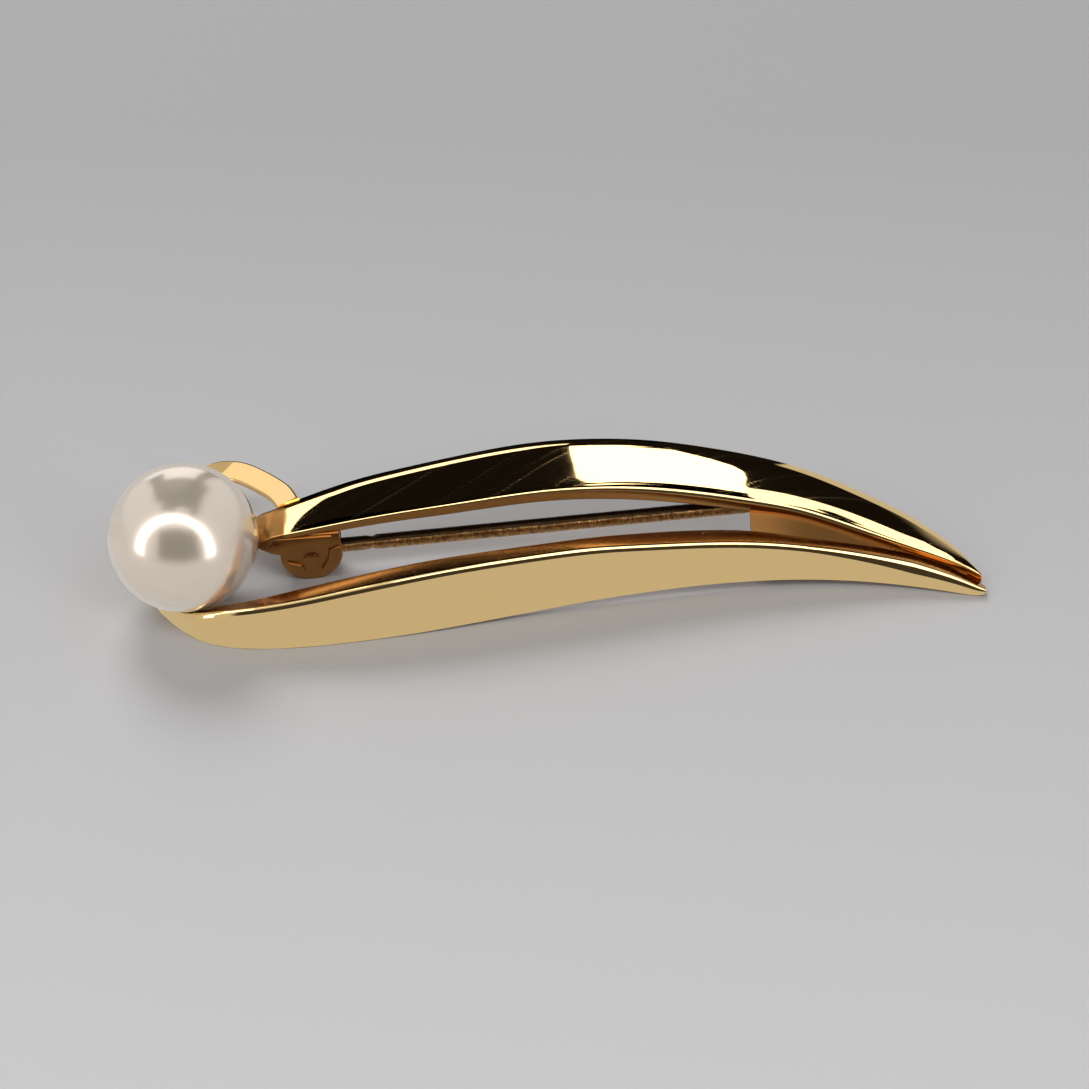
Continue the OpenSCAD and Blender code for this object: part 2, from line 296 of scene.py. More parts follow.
class Finishes(bpy.types.PropertyGroup):
    """Colours and polish."""

    gold: colour_setting("Gold", "Colour of the polished gold", (0.97, 0.70, 0.325))
    # Rim gold and unpolished gold are painted darker than the polished gold: painted shade and painted brown
    # reflections of gold on rims, hidden sides and the hinge
    rim_gold_shaded: colour_setting("Rim gold", "Colour of the rims and hidden edges", (0.60, 0.29, 0.085))
    raw_gold_shaded: colour_setting("Unpolished gold", "Colour of the unpolished sides", (0.42, 0.20, 0.06))
    pin_gold: colour_setting("Pin gold", "Colour of the drawn gold of the pin", (0.80, 0.48, 0.19))
    polish: number_setting("Polish", "Roughness of the polished gold", 0.021, "FACTOR")
    pearl: colour_setting("Pearl", "Body colour of the pearl", (0.94, 0.81, 0.66))


class StageLook(bpy.types.PropertyGroup):
    """Floor, lights and camera."""

    floor: colour_setting("Floor", "Colour of the floor", (0.53, 0.525, 0.525))
    arch: number_setting("Arch", "Strength of the arched softbox", 2.8)
    panel: number_setting("Panel", "Strength of the overhead panel", 3.0)
    band: number_setting("Band", "Strength of the band below the panel", 2.0)
    strip: number_setting("Strip", "Strength of the strip on the left", 2.0)
    side: number_setting("Side", "Strength of the card far on the left", 1.15)
    left: number_setting("Left", "Strength of the dim card on the left", 0.6)
    halo: number_setting("Halo", "Strength of the dim card above the pearl's highlight", 0.45)
    back: number_setting("Back", "Strength of the card behind the brooch", 1.0)
    apron: number_setting("Apron", "Strength of the sheet round the foot, only for polished pieces", 0.58)
    key: number_setting("Key", "Power in watts of the soft light from behind, only for matt surfaces", 2.6)
    surround: number_setting("Surround", "Strength of the pale room", 0.6)
    elevation: angle_setting("Elevation", "Height angle of the camera", 40)
    distance: length_setting("Distance", "From the camera to the brooch", 150)
    lens: number_setting("Lens", "Focal length in mm", 93.72)


class BroochSettings(bpy.types.PropertyGroup):
    """All that a user can change."""

    ribbons: bpy.props.PointerProperty(type=RibbonSizes)
    pearl: bpy.props.PointerProperty(type=PearlSizes)
    pin: bpy.props.PointerProperty(type=PinSizes)
    finishes: bpy.props.PointerProperty(type=Finishes)
    stage: bpy.props.PointerProperty(type=StageLook)


def even_rows(rows, steps):
    """Rows at even steps along one smooth cubic curve that keeps close to a table's rows, in metres."""
    rows = np.array(rows, float) * MM
    pulled = rows.copy()
    pulled[1:-1] -= (rows[:-2] - 2 * rows[1:-1] + rows[2:]) / 6
    held = np.vstack([2 * pulled[0] - pulled[1], pulled, 2 * pulled[-1] - pulled[-2]])
    t = np.linspace(0, 1, steps, endpoint=False)[:, None]
    weights = ((1 - t) ** 3, 3 * t**3 - 6 * t**2 + 4, -3 * t**3 + 3 * t**2 + 3 * t + 1, t**3)
    runs = [sum(w * held[i + j] for j, w in enumerate(weights)) / 6 for i in range(len(rows) - 1)]
    return np.vstack(runs + [rows[-1:]])


def place(points):
    """The tables' points, in metres, in the part's own frame."""
    return points - np.array(MIDDLE) * MM


def upright(amounts):
    """Upward vectors of the given lengths."""
    return np.outer(amounts, (0, 0, 1))


def linked(name, data):
    """An object of the scene that shows the data."""
    made = bpy.data.objects.new(name, data)
    bpy.context.scene.collection.objects.link(made)
    return made


def linked_mesh(name, work):
    """An object of the scene with the mesh of a bmesh, which is freed."""
    mesh = bpy.data.meshes.new(name)
    work.to_mesh(mesh)
    work.free()
    return linked(name, mesh)


def point_mesh(name, points, attributes):
    """An object of loose points with one attribute for each entry."""
    mesh = bpy.data.meshes.new(name)
    mesh.from_pydata([tuple(p) for p in points], [], [])
    for key, values in attributes.items():
        values = np.asarray(values, float)
        kind, slot = ("FLOAT_VECTOR", "vector") if values.ndim == 2 else ("FLOAT", "value")
        mesh.attributes.new(key, kind, "POINT").data.foreach_set(slot, values.ravel())
    return linked(name, mesh)


def summed(*parts):
    """Adds section points, each a dict of how much of which measure it takes."""
    total = {}
    for factor, part in parts:
        for key, amount in part.items():
            total[key] = total.get(key, 0) + factor * amount
    return total


# Ways to go from a section's corner, one fillet long
INWARD, OUTWARD = {"in_fillet": 1}, {"in_fillet": -1}
UPWARD, DOWNWARD = {"up_fillet": 1}, {"up_fillet": -1}


def rounded(corner, back, onward, steps):
    """Points that round a section's corner, from the one edge to the next."""
    return [
        summed((1, corner), ((1 - t) ** 2, back), (t * t, onward))
        for t in (k / steps for k in range(steps + 1))
    ]


def along_flat(start, end):
    """Points on a flat side, close to its ends as well so that the shading stays flat."""
    return [summed((1 - t, start), (t, end)) for t in (0.04, 0.35, 0.65, 0.96)]


def joined(corners, dulling_and_shade):
    """A ring of corners with flat sides between them, as pairs of a point and how dull and darkly shaded it
    is.
    """
    ring = []
    for corner, after, rough in zip(corners, corners[1:] + corners[:1], dulling_and_shade):
        ring += [(point, rough) for point in corner[len(corner) // 2 :]]
        ring += [(point, rough) for point in along_flat(corner[-1], after[0]) + after[: len(after) // 2]]
    return ring


def section_mesh(name, ring, measures, station):
    """A section as loose points, each with its amounts for the measures, its dulling and painted shade, and
    its place round it.
    """
    ring = ring + ring[:1]
    flat = [
        sum((measures[key][station] * amount for key, amount in point.items()), np.zeros(3))
        for point, dulling_and_shade in ring
    ]
    girth = np.concatenate([[0], np.cumsum([np.linalg.norm(b - a) for a, b in zip(flat, flat[1:])])])
    columns = {key: [point.get(key, 0) for point, dulling_and_shade in ring] for key in measures}
    unpolished = [dulling_and_shade for point, dulling_and_shade in ring]
    return point_mesh(name, [(0, 0, 0)] * len(ring), {**columns, "girth": girth, "unpolished": unpolished})


def sweep_tree(measures):
    """Geometry nodes that carry a section along a rail of stations."""
    tree = bpy.data.node_groups.new("section on a rail", "GeometryNodeTree")
    sockets = (
        ("Rail", "Geometry"), ("Section", "Object"), ("Stations", "Int"), ("Section Points", "Int"),
        ("Seat Centre", "Vector"), ("Seat Radius", "Float"), ("Finish", "Material"),
    )
    for name, kind in sockets:
        tree.interface.new_socket(name=name, in_out="INPUT", socket_type="NodeSocket" + kind)
    tree.interface.new_socket(name="Ribbon", in_out="OUTPUT", socket_type="NodeSocketGeometry")
    given = tree.nodes.new("NodeGroupInput")
    wanted = {name: Value(tree, given.outputs[name]) for name, kind in sockets}
    make = Value(tree).node
    rail = wanted["Rail"]
    section = make("GeometryNodeObjectInfo", None, {"Object": wanted["Section"]}, "Geometry")
    counts = {"Vertices X": wanted["Stations"], "Vertices Y": wanted["Section Points"]}
    grid = make("GeometryNodeMeshGrid", None, {"Size X": 1.0, "Size Y": 1.0, **counts})
    index = make("GeometryNodeInputIndex")
    station = ((index + 0.5) / wanted["Section Points"]).maths("FLOOR")
    point = index - station * wanted["Section Points"]

    def sampled(source, name, at, kind):
        field = make("GeometryNodeInputNamedAttribute", {"data_type": kind}, {"Name": name})
        inputs = {"Geometry": source, "Value": field, "Index": at}
        return make("GeometryNodeSampleIndex", {"data_type": kind}, inputs)

    position = sampled(rail, "position", station, "FLOAT_VECTOR")
    for name in measures:
        part = sampled(rail, name, station, "FLOAT_VECTOR").scaled(sampled(section, name, point, "FLOAT"))
        position = position.vector("ADD", part)
    apart = position.vector("SUBTRACT", wanted["Seat Centre"])
    push = (wanted["Seat Radius"] / apart.vector("LENGTH", output="Value")).maths("MAXIMUM", 1.0)
    seated = wanted["Seat Centre"].vector("ADD", apart.scaled(push))
    ribbon = make("GeometryNodeSetPosition", None, {"Geometry": grid, "Position": seated})
    reach = sampled(rail, "reach", station, "FLOAT")
    girth = sampled(section, "girth", point, "FLOAT")
    along = make("ShaderNodeCombineXYZ", None, {"X": reach, "Y": girth})
    dulling_and_shade = sampled(section, "unpolished", point, "FLOAT") * sampled(rail, "kept", station, "FLOAT")
    dulling_and_shade = dulling_and_shade + sampled(rail, "worn", station, "FLOAT")
    for name, kind, domain, field in (
        ("along", "FLOAT2", "CORNER", along), ("unpolished", "FLOAT", "POINT", dulling_and_shade),
    ):
        settings = {"data_type": kind, "domain": domain}
        inputs = {"Geometry": ribbon, "Name": name, "Value": field}
        ribbon = make("GeometryNodeStoreNamedAttribute", settings, inputs)
    ribbon = make("GeometryNodeMergeByDistance", None, {"Geometry": ribbon, "Distance": WELD})
    ribbon = make("GeometryNodeRealizeInstances", None, {"Geometry": ribbon})
    ribbon = make("GeometryNodeSetMaterial", None, {"Geometry": ribbon, "Material": wanted["Finish"]})
    end = tree.nodes.new("NodeGroupOutput")
    tree.links.new(ribbon.socket, end.inputs["Ribbon"])
    return tree


def tidy_mesh(mesh, merge=False):
    """Merges doubles where asked, turns the faces outwards and shades smooth between sharp edges."""
    mesh.validate()
    work = bmesh.new()
    work.from_mesh(mesh)
    if merge:
        bmesh.ops.remove_doubles(work, verts=work.verts, dist=CLOSE)
    bmesh.ops.dissolve_degenerate(work, edges=work.edges, dist=CLOSE)
    bmesh.ops.recalc_face_normals(work, faces=work.faces)
    work.to_mesh(mesh)
    work.free()
    mesh.shade_smooth()
    mesh.set_sharp_from_angle(angle=SHARP)


def settled(piece, modifier):
    """Turns a piece with its one modifier into a plain mesh."""
    shape = bpy.data.meshes.new_from_object(piece.evaluated_get(bpy.context.evaluated_depsgraph_get()))
    piece.modifiers.remove(modifier)
    tidy_mesh(shape)
    piece.data = shape


def pearl_room():
    """Centre and radius of the room that the ribbons leave for the pearl."""
    sizes = bpy.context.scene.brooch.pearl
    return (PEARL_AT - MIDDLE) * MM, sizes.across / 2 + sizes.gap


def swept(name, rail_points, measures, ring, typical, hub, seat=None, kept=1.0, worn=0.0):
    """Makes a ribbon of the brooch: the ring grown along the rail, with both ends drawn in to the hub.

    The ring's girth is measured at the typical station. The ribbon is pushed out of the seat, a centre
    and a radius. Kept says how much of the ring's dulling and painted shade it has, and the last
    argument how much of both it has all round.
    """
    section = section_mesh(name + " section", ring, measures, typical)
    first, last = (
        rail_points[i] + sum(part * measures[key][i] for key, part in hub.items()) for i in (0, -1)
    )
    points = np.vstack([first, rail_points, last])
    steps = np.linalg.norm(np.diff(rail_points, axis=0), axis=1)
    reach = np.concatenate([[0, 0], np.cumsum(steps), [steps.sum()]])
    capped = {key: np.vstack([np.zeros(3), values, np.zeros(3)]) for key, values in measures.items()}
    for key, dulling_and_shade in (("kept", kept), ("worn", worn)):
        capped[key] = np.pad(np.ones(len(rail_points)) * dulling_and_shade, 1, "edge")
    rail = point_mesh(name, points, {**capped, "reach": reach})
    tree = sweep_tree(measures)
    centre, radius = seat or (Vector(), 0.0)
    values = {
        "Section": section, "Stations": len(points), "Section Points": len(section.data.vertices),
        "Seat Centre": centre, "Seat Radius": radius, "Finish": finish_of("ribbon_gold"),
    }
    sweep = rail.modifiers.new("sweep", "NODES")
    sweep.node_group = tree
    for item in tree.interface.items_tree:
        if item.name in values:
            sweep[item.identifier] = values[item.name]
    settled(rail, sweep)
    bpy.data.objects.remove(section)
    handed_over(rail, "brooch_frame")


def handed_over(piece, node):
    """Gives a piece its body and the lights of its slot, and hides the CAD node that it stands for."""
    body, slot = NODES[node]
    if len(piece.data.polygons) == 0:
        raise RuntimeError(piece.name + " has no faces")
    bpy.data.collections["pale" if slot == "pearl" else "golden"].objects.link(piece)
    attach(piece, body)
    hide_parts(node)


def new_piece(name, work, matrix, node, finish, bevel=0.0):
    """Makes a piece from a bmesh, moved to its place, with its edges bevelled where asked."""
    bmesh.ops.transform(work, matrix=matrix, verts=work.verts)
    piece = linked_mesh(name, work)
    tidy_mesh(piece.data, merge=True)
    if bevel:
        soften = piece.modifiers.new("soften", "BEVEL")
        soften.width, soften.segments, soften.limit_method = bevel, 3, "ANGLE"
        soften.angle_limit = SHARP
        settled(piece, soften)
    piece.data.materials.append(finish_of(finish))
    handed_over(piece, node)


def turned(profile, segments, closed=False):
    """A round shape about the X axis from pairs of place along the axis and radius."""
    work = bmesh.new()
    pairs = list(profile) + ([profile[0]] if closed else [])
    angles = [2 * math.pi * k / segments for k in range(segments)]
    rings = [[work.verts.new((at, r * math.cos(a), r * math.sin(a))) for a in angles] for at, r in pairs]
    for one, two in zip(rings, rings[1:]):
        for k in range(segments):
            after = (k + 1) % segments
            work.faces.new((one[k], one[after], two[after], two[k]))
    return work


def slab(outline, low, high):
    """A plate whose outline lies in X and Z, between two places along Y."""
    work = bmesh.new()
    near, far = ([work.verts.new((x, y, z)) for x, z in outline] for y in (low, high))
    work.faces.new(near)
    work.faces.new(far[::-1])
    for k in range(len(outline)):
        after = (k + 1) % len(outline)
        work.faces.new((near[k], far[k], far[after], near[after]))
    return work


def arc(centre, radius, start, end, steps):
    """Points on an arc, with its angles in degrees."""
    angles = [math.radians(start + (end - start) * k / steps) for k in range(steps + 1)]
    return [(centre[0] + radius * math.cos(a), centre[1] + radius * math.sin(a)) for a in angles]


def at_pivot():
    """Place and turn of the rivet's axis, which lies along Y."""
    return Matrix.Translation((PIVOT - MIDDLE) * MM) @ Matrix.Rotation(PIN_TURN, 4, "Z")


def along_pin():
    """The same, with the pin's wire along X."""
    return at_pivot() @ Matrix.Rotation(-PIN_RISE, 4, "Y")


def emptied(owner):
    """Empties the tree of a material or world, and returns it with the method that adds its nodes."""
    owner.use_nodes = True
    owner.node_tree.nodes.clear()
    return owner, Value(owner.node_tree).node


def showing(owner, shader, kind="Material"):
    """The material or world, with the shader on its output."""
    output = owner.node_tree.nodes.new("ShaderNodeOutput" + kind)
    owner.node_tree.links.new(shader.socket, output.inputs["Surface"])
    return owner


def surface(material, make, tone, rough, **more):
    """The material, with one surface of a tone and a roughness on its output."""
    inputs = {"Base Color": tone, "Roughness": rough}
    inputs.update({key.replace("_", " "): value for key, value in more.items()})
    return showing(material, make("ShaderNodeBsdfPrincipled", None, inputs))


def bumpy(make, height, strength, depth):
    """Small relief from a height, with its depth in mm."""
    inputs = {"Height": height, "Strength": strength, "Distance": depth * MM}
    return make("ShaderNodeBump", None, inputs)


def opaque(tint, factors=(1.0, 1.0, 1.0)):
    """A colour as four numbers, with each of its parts times its factor."""
    return (*(part * factor for part, factor in zip(tint, factors)), 1.0)


def polished_gold(name, on_ribbon, look):
    """Mirror-polished gold with hairlines, which run along a ribbon or lie across a small part."""
    material, make = emptied(bpy.data.materials.new(name))
    if on_ribbon:
        at = make("ShaderNodeUVMap", {"uv_map": "along"})
        line_size = (420.0, 13000.0, 0.0)
        haze_size = (90.0, 500.0, 0.0)
    else:
        at = make("ShaderNodeTexCoord", None, None, "Object")
        line_size = (500.0, 5000.0, 5000.0)
        haze_size = (300.0, 300.0, 300.0)
    scratch = at.vector("MULTIPLY", line_size).noise(1.0, 3.0, 0.65).ramp(0.60, 0.74)
    haze = at.vector("MULTIPLY", haze_size).noise(1.0, 2.0)
    worn = scratch * haze.ramp(0.42, 0.66)
    bump = bumpy(make, worn, 0.4, 0.001)
    tone = (haze * 0.5).mixed(opaque(look.gold), opaque(look.gold, (0.97, 0.95, 0.88)))
    rough = look.polish + 0.34 * worn
    if on_ribbon:
        # On a ribbon, rims and hidden sides are rougher and painted darker: painted shade and painted brown
        # reflections of gold
        unpolished = make("ShaderNodeAttribute", {"attribute_name": "unpolished"}, None, "Fac")
        rim = unpolished.ramp(0.0, 0.5)
        raw_and_shaded = unpolished.ramp(0.5, 1.0)
        tone = raw_and_shaded.mixed(rim.mixed(tone, opaque(look.rim_gold_shaded)), opaque(look.raw_gold_shaded))
        rough = rough + 0.09 * rim + 0.22 * raw_and_shaded
    return surface(material, make, tone, rough, Metallic=1.0 - 0.35 * worn, Normal=bump)


def hinge_gold(look):
    """The soldered hinge's rough gold, clouded and filed, painted dark brown as painted shade and brown
    reflections.
    """
    material, make = emptied(bpy.data.materials.new("hinge_gold"))
    at = make("ShaderNodeTexCoord", None, None, "Object")
    cloud = at.noise(900.0, 3.0, 0.6)
    files = at.vector("MULTIPLY", (2500.0, 9000.0, 6000.0)).noise(1.0, 2.0)
    bump = bumpy(make, files + 2.0 * cloud, 0.5, 0.01)
    tone = cloud.mixed(opaque(look.raw_gold_shaded), opaque(look.rim_gold_shaded))
    return surface(material, make, tone, 0.22 + 0.15 * cloud, Metallic=1.0, Normal=bump)


def drawn_gold(look):
    """The pin's drawn wire: painted near-black on top as shade, rough with file marks below."""
    material, make = emptied(bpy.data.materials.new("drawn_gold"))
    at = make("ShaderNodeTexCoord", None, None, "Object")
    marks = at.vector("MULTIPLY", (5200.0, 3600.0, 3600.0)).noise(1.0, 4.0, 0.7)
    lumps = at.vector("MULTIPLY", (900.0, 1500.0, 1500.0)).noise(1.0, 2.0)
    bump = bumpy(make, marks * 0.8 + lumps, 0.9, 0.06)
    grooves = opaque(look.pin_gold, (0.42, 0.34, 0.28))
    # Painted shade: the upward-facing top of the wire is painted near-black
    painted_top_shade = (0.035, 0.02, 0.01, 1.0)
    facing = make("ShaderNodeTexCoord", None, None, "Normal")
    above = make("ShaderNodeSeparateXYZ", None, {"Vector": facing}, "Z") + 0.12 * lumps
    tone = marks.ramp(0.38, 0.62).mixed(grooves, opaque(look.pin_gold))
    tone = above.ramp(0.66, 0.76).mixed(tone, painted_top_shade)
    return surface(material, make, tone, 0.18 + 0.2 * lumps, Metallic=1.0, Normal=bump)


def nacre(look):
    """The pearl's body: a soft sheen under a clear skin, with faint overtones and small pits."""
    material, make = emptied(bpy.data.materials.new("nacre"))
    at = make("ShaderNodeTexCoord", None, None, "Object")
    cloud = at.noise(260.0, 2.0)
    pits = at.noise(1500.0, 3.0)
    rose = opaque(look.pearl, (1.0, 0.95, 0.98))
    green = opaque(look.pearl, (0.97, 1.01, 1.0))
    return surface(
        material, make, cloud.mixed(rose, green), 0.22 + 0.04 * cloud, Metallic=0.6,
        Coat_Weight=1.0, Coat_Roughness=0.12, Coat_IOR=1.9, Normal=bumpy(make, pits, 0.4, 0.01),
    )


def finish_of(name):
    """A finish by its name, made when it is first asked for."""
    if name in bpy.data.materials:
        return bpy.data.materials[name]
    look = bpy.context.scene.brooch.finishes
    makers = {
        "ribbon_gold": lambda: polished_gold("ribbon_gold", True, look),
        "fitting_gold": lambda: polished_gold("fitting_gold", False, look),
        "hinge_gold": lambda: hinge_gold(look),
        "drawn_gold": lambda: drawn_gold(look),
        "nacre": lambda: nacre(look),
    }
    return makers[name]()


class BROOCH_OT_front_ribbon(bpy.types.Operator):
    """Makes the tall front ribbon, which curls round under the pearl"""

    bl_idname = "brooch.front_ribbon"
    bl_label = "Front Ribbon"

    def execute(self, context):
        sizes = context.scene.brooch.ribbons
        rows = even_rows(FRONT_ROWS, RIBBON_STEPS)
        rows[:, 2] = np.maximum(rows[:, 2], 0)
        base, height, flange = rows[:, 2], rows[:, 3], rows[:, 4]
        run = np.gradient(rows[:, :2], axis=0)
        inward = np.column_stack([run[:, 1], -run[:, 0], np.zeros(len(rows))])
        inward /= np.linalg.norm(inward, axis=1)[:, None]
        fall = math.tan(sizes.slope)
        # The top edge grows wider near the point
        wider = np.interp(rows[:, 0], (14 * MM, 20 * MM), (1.0, 2.0))
        edge = np.minimum(sizes.front_round * wider, 0.5 * height)
        wall = np.minimum(sizes.wall, 0.6 * flange)
        plate = np.minimum(sizes.wall, 0.5 * height)
        fillet = np.minimum(sizes.fillet, 0.3 * plate)
        measures = {
            "in_edge": inward * edge[:, None], "up_edge": upright(edge),
            "in_flange": inward * flange[:, None], "in_wall": inward * wall[:, None],
            "up_height": upright(height), "up_drop": upright((flange - edge) * fall),
            "up_plate": upright(plate), "in_fillet": inward * fillet[:, None], "up_fillet": upright(fillet),
        }
        brow = {"up_height": 1, "up_edge": fall}
        # The two facets of the top edge between three corners, in parts of the edge's size
        high = summed((1, brow), (0.64, {"in_edge": 1, "up_edge": -fall}))
        between = summed((1, high), (-0.36, {"in_edge": 1, "up_edge": 0.80}))
        low = summed((1, between), (-0.28, {"in_edge": 1, "up_edge": 1.8}))
        bright, dark = summed((1, high), (-1, between)), summed((1, between), (-1, low))
        lip = {"in_flange": 1, "up_height": 1, "up_drop": -1}
        under = summed((1, lip), (1, {"up_plate": -1}))
        inner = {"in_wall": 1, "up_height": 1, "up_plate": -1}
        foot = {"in_wall": 1}
        corners = [
            rounded({}, INWARD, UPWARD, 4),
            rounded(low, {"up_edge": -0.15}, summed((0.3, dark)), 6),
            rounded(between, summed((-0.3, dark)), summed((0.25, bright)), 6),
            rounded(high, summed((-0.35, bright)), {"in_edge": 0.35, "up_edge": -0.35 * fall}, 10),
            rounded(lip, {"in_fillet": -1, "up_fillet": fall}, DOWNWARD, 4),
            rounded(under, UPWARD, {"in_fillet": -1, "up_fillet": fall}, 4),
            [inner],
            rounded(foot, UPWARD, OUTWARD, 4),
        ]
        # The flange and its lip are rougher and painted brown as a painted reflection of gold; the flange's
        # underside, the inner wall and the bottom are rougher and painted darker still as shade
        ring = joined(corners, (0.0, 0.0, 0.0, 0.5, 0.5, 1.0, 1.0, 1.0))
        # The loop behind the pearl is a little rougher and painted a little darker all round
        kept = np.interp(np.arange(len(rows)) / RIBBON_STEPS, (LOOP_ROW, LOOP_ROW + 1), (1.0, 0.0))
        worn = 0.12 * (1.0 - kept)
        points = place(np.column_stack([rows[:, 0], rows[:, 1], base]))
        swept("front_ribbon", points, measures, ring, len(rows) // 2, inner, pearl_room(), kept, worn)
        return {"FINISHED"}


class BROOCH_OT_upper_ribbon(bpy.types.Operator):
    """Makes the upper ribbon with its sloping face"""

    bl_idname = "brooch.upper_ribbon"
    bl_label = "Upper Ribbon"

    def execute(self, context):
        sizes = context.scene.brooch.ribbons
        rows = even_rows(UPPER_ROWS, RIBBON_STEPS)
        x, near_y, near_z, far_y, far_z, rim, near_round, roll, fall = rows.T[:9]
        sharpness = rows[:, 9] / MM
        across = np.column_stack([np.zeros(len(x)), far_y - near_y, far_z - near_z])
        width = np.linalg.norm(across, axis=1)
        tilt = np.arctan2(across[:, 2], across[:, 1])
        crown = sizes.crown * np.minimum(1.2, (width / (3.5 * MM)) ** 2)
        swell = np.arctan(4 * crown / width)

        def leaning(angle, length):
            return np.column_stack([np.zeros(len(x)), np.cos(angle) * length, np.sin(angle) * length])

        edge = np.minimum.reduce([near_round, 0.3 * width, 0.5 * rim])
        roll = np.minimum(roll, 0.35 * width)
        fillet = np.minimum(sizes.fillet, 0.2 * rim)
        measures = {
            "across": across, "bulge": leaning(tilt + math.pi / 2, crown),
            "up_edge": upright(edge), "on_edge": leaning(tilt + swell, edge), "up_rim": upright(rim),
            "off_roll": leaning(tilt - swell, roll), "off_turn": leaning(tilt - swell, roll * sharpness),
            "up_fall": upright(fall), "up_far": upright(np.minimum(sizes.far_height, rim)),
            "in_fillet": np.outer(fillet, (0, 1, 0)), "up_fillet": upright(fillet),
        }
        near_low = {"up_rim": -1}
        far_low = {"across": 1, "up_far": -1}
        roll_in, turn = {"across": 1, "off_roll": -1}, {"across": 1, "off_turn": -1}
        roll_out = {"across": 1, "up_fall": -1}
        near_top, face_start = {"up_edge": -0.7}, {"on_edge": 1.5}
        face = [
            summed((1 - t, face_start), (t, roll_in), (4 * t * (1 - t), {"bulge": 1}))
            for t in (0.02, *(k / 20 for k in range(1, 20)), 0.98)
        ]
        far_roll = [
            summed(((1 - t) ** 2, roll_in), (2 * t * (1 - t), turn), (t * t, roll_out))
            for t in (k / 12 for k in range(13))
        ]
        near_rim = rounded(near_low, INWARD, UPWARD, 4)
        near_rim += along_flat(near_rim[-1], near_top)
        far_side = along_flat(roll_out, far_low) + rounded(far_low, UPWARD, OUTWARD, 4)
        # The near rim and the far side are rougher and painted brown as painted reflection and shade; the
        # underside is rougher and painted darker still as shade
        ring = [(point, 0.5) for point in near_rim]
        ring += [(point, 0.0) for point in rounded({}, near_top, face_start, 12) + face + far_roll]
        ring += [(point, 0.5) for point in far_side]
        ring += [(point, 1.0) for point in along_flat(far_low, near_low)]
        points = place(np.column_stack([x, near_y, near_z]))
        # The end beside the pearl is rougher and painted orange-brown, as a painted reflection
        worn = np.interp(x, (-13.75 * MM, -13.6 * MM), (0.8, 0.0))
        hub = {"across": 0.5, "up_rim": -0.5}
        swept("upper_ribbon", points, measures, ring, len(rows) // 2, hub, pearl_room(), worn=worn)
        return {"FINISHED"}


class BROOCH_OT_web(bpy.types.Operator):
    """Makes the plate that closes the V between the ribbons"""

    bl_idname = "brooch.web"
    bl_label = "Plate in the V"

    def execute(self, context):
        sizes = context.scene.brooch.ribbons
        rows = even_rows(WEB_ROWS, PLATE_STEPS)
        x, front_y, front_z, back_y, back_z = rows.T
        count = len(x)
        across = np.column_stack([np.zeros(count), back_y - front_y, back_z - front_z])
        fillet = np.full(count, 0.5 * sizes.fillet)
        measures = {
            "across": across, "up_plate": upright(np.full(count, sizes.web)),
            "in_fillet": np.outer(fillet, (0, 1, 0)), "up_fillet": upright(fillet),
        }
        low_front, low_back = {"up_plate": -1}, {"across": 1, "up_plate": -1}
        corners = [
            rounded(low_front, INWARD, UPWARD, 3),
            rounded({}, DOWNWARD, INWARD, 3),
            rounded({"across": 1}, OUTWARD, DOWNWARD, 3),
            rounded(low_back, UPWARD, OUTWARD, 3),
        ]
        # The whole plate is rough and painted dark brown: painted shade and a painted dark reflection
        ring = joined(corners, (1.0, 1.0, 1.0, 1.0))
        points = place(np.column_stack([x, front_y, front_z]))
        # It is less rough and painted less dark near the point
        kept = np.interp(x, (17 * MM, 21 * MM), (1.0, 0.6))
        swept("web_plate", points, measures, ring, 0, {"across": 0.5, "up_plate": -0.5}, kept=kept)
        return {"FINISHED"}


class BROOCH_OT_pearl_seat(bpy.types.Operator):
    """Makes the cup and the peg that carry the pearl"""

    bl_idname = "brooch.pearl_seat"
    bl_label = "Pearl Seat"

    def execute(self, context):
        sizes = context.scene.brooch.pearl
        centre, hollow = pearl_room()
        rim_at, floor_at, soft = sizes.cup_height, 0.05 * MM, 0.05 * MM
        # The peg ends below the end of the hole
        peg_top = centre.z - sizes.across / 2 + sizes.depth - 0.3 * MM
        peg_soft = 0.1 * MM
        opening = math.sqrt(hollow**2 - (centre.z - rim_at) ** 2)
        profile = [(floor_at, 0.0), (floor_at, sizes.cup / 2 - soft)]
        profile += arc((floor_at + soft, sizes.cup / 2 - soft), soft, 180, 90, 4)
        profile += arc((rim_at - soft, sizes.cup / 2 - soft), soft, 90, 0, 4)
        profile += [(rim_at, opening)]
        bowl = [sizes.peg / 2 + (opening - sizes.peg / 2) * (1 - k / 8) for k in range(1, 9)]
        profile += [(centre.z - math.sqrt(hollow**2 - r * r), r) for r in bowl]
        profile += arc((peg_top - peg_soft, sizes.peg / 2 - peg_soft), peg_soft, 90, 0, 5) + [(peg_top, 0.0)]
        turn = Matrix.Translation((centre.x, centre.y, 0)) @ TO_TOP
        new_piece("pearl_cup", turned(profile, 64), turn, "brooch_frame", "fitting_gold")
        return {"FINISHED"}


class BROOCH_OT_pearl(bpy.types.Operator):
    """Makes the drilled pearl"""

    bl_idname = "brooch.pearl"
    bl_label = "Pearl"

    def execute(self, context):
        sizes = context.scene.brooch.pearl
        radius, hole = sizes.across / 2, sizes.drill / 2
        lowest = math.degrees(math.asin(hole / radius))
        skin = arc((0, 0), radius, 180 - lowest, 0, 90)
        hole_end, hole_start, bore = -radius + sizes.depth, -radius + 0.1 * MM, hole * 0.98
        inside = [(hole_end, 0.0), (hole_end, bore), (hole_start, bore)]
        turn = Matrix.Translation(pearl_room()[0]) @ TO_TOP
        new_piece("pearl_ball", turned(inside + skin, 128), turn, "pearl", "nacre")
        return {"FINISHED"}


